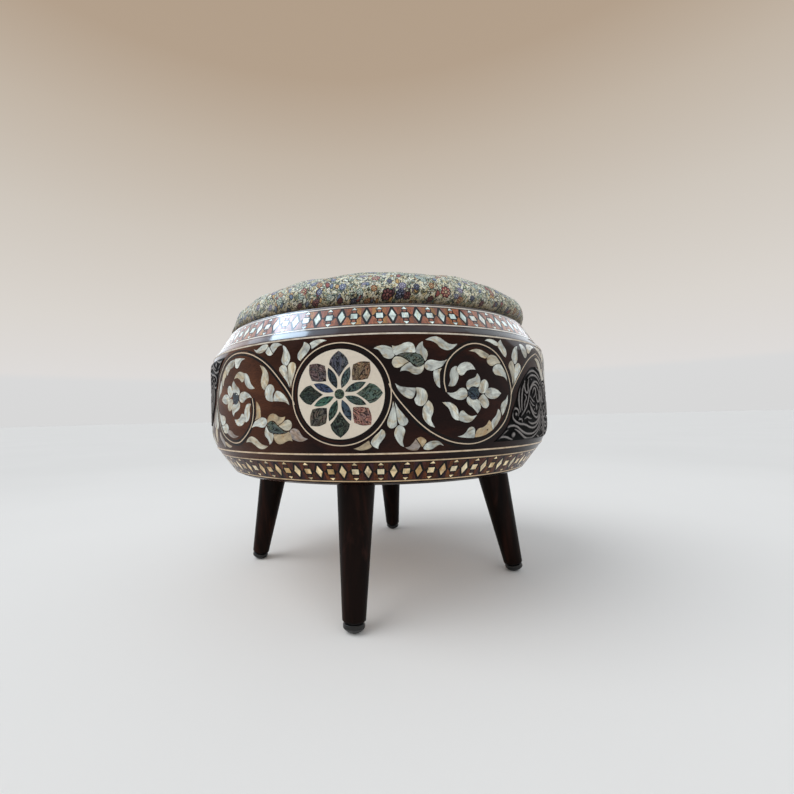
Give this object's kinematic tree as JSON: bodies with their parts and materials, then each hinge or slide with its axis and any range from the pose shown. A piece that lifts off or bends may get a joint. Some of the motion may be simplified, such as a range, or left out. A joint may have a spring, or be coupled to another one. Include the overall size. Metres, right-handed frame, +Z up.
{
  "type": "moroccan kursi stool",
  "caption": "Round inlaid wooden drum stool with bevelled rims, marquetry bands, a crowned lift-off brocade seat and splayed tapered legs on levelling feet.",
  "frame": {"origin": "on the floor under the middle of the drum", "axes": "+Z up; -Y is the side with the front medallion and the front leg; +X is its right"},
  "size_m": [0.45, 0.45, 0.3815],
  "materials": {
    "walnut_lacquer": "high gloss lacquer over dark walnut",
    "bone": "polished bone",
    "marquetry": "polished wood and shell marquetry",
    "ebonised_wood": "satin, carved",
    "raw_wood": "bare plywood",
    "brocade": "woven brocade",
    "foam": "open cell foam",
    "leg_lacquer": "dark satin lacquer",
    "zinc_steel": "zinc plated",
    "brass": "plain",
    "pad_plastic": "moulded"
  },
  "bodies": {
    "drum": {"base_board": "raw_wood", "bone_string_lower_foot": "bone", "bone_string_lower_head": "bone", "bone_string_upper_foot": "bone", "bone_string_upper_head": "bone", "bone_string_wall_foot": "bone", "bone_string_wall_head": "bone", "carved_panel_back": "ebonised_wood", "carved_panel_front_left": "ebonised_wood", "carved_panel_front_right": "ebonised_wood", "drum_wall": "walnut_lacquer", "foot_insert_back": "brass", "foot_insert_front": "brass", "foot_insert_left": "brass", "foot_insert_right": "brass", "hanger_bolt_back": "zinc_steel", "hanger_bolt_front": "zinc_steel", "hanger_bolt_left": "zinc_steel", "hanger_bolt_right": "zinc_steel", "leg_back": "leg_lacquer", "leg_front": "leg_lacquer", "leg_left": "leg_lacquer", "leg_plate_back": "zinc_steel", "leg_plate_front": "zinc_steel", "leg_plate_left": "zinc_steel", "leg_plate_right": "zinc_steel", "leg_right": "leg_lacquer", "lower_marquetry_band": "marquetry", "lower_rim": "walnut_lacquer", "medallion_back_left": "bone", "medallion_back_right": "bone", "medallion_front": "bone", "plate_screw_back_1": "zinc_steel", "plate_screw_back_2": "zinc_steel", "plate_screw_back_3": "zinc_steel", "plate_screw_front_1": "zinc_steel", "plate_screw_front_2": "zinc_steel", "plate_screw_front_3": "zinc_steel", "plate_screw_left_1": "zinc_steel", "plate_screw_left_2": "zinc_steel", "plate_screw_left_3": "zinc_steel", "plate_screw_right_1": "zinc_steel", "plate_screw_right_2": "zinc_steel", "plate_screw_right_3": "zinc_steel", "upper_marquetry_band": "marquetry", "upper_rim": "walnut_lacquer"},
    "seat": {"seat_board": "raw_wood", "seat_cover": "brocade", "seat_foam": "foam", "seat_locator_ring": "raw_wood"},
    "foot_front": {"foot_stud_front": "zinc_steel", "foot_pad_front": "pad_plastic"},
    "foot_right": {"foot_stud_right": "zinc_steel", "foot_pad_right": "pad_plastic"},
    "foot_back": {"foot_stud_back": "zinc_steel", "foot_pad_back": "pad_plastic"},
    "foot_left": {"foot_stud_left": "zinc_steel", "foot_pad_left": "pad_plastic"}
  },
  "joints": [
    {"name": "seat_lift", "type": "slide", "parent": "drum", "child": "seat", "axis": [0, 0, 1], "range_m": [0, 0.15]},
    {"name": "foot_front_screw", "type": "slide", "parent": "drum", "child": "foot_front", "axis": [0, -0.1908, -0.9816], "range_m": [0, 0.01]},
    {"name": "foot_right_screw", "type": "slide", "parent": "drum", "child": "foot_right", "axis": [0.1908, 0, -0.9816], "range_m": [0, 0.01]},
    {"name": "foot_back_screw", "type": "slide", "parent": "drum", "child": "foot_back", "axis": [0, 0.1908, -0.9816], "range_m": [0, 0.01]},
    {"name": "foot_left_screw", "type": "slide", "parent": "drum", "child": "foot_left", "axis": [-0.1908, 0, -0.9816], "range_m": [0, 0.01]}
  ]
}
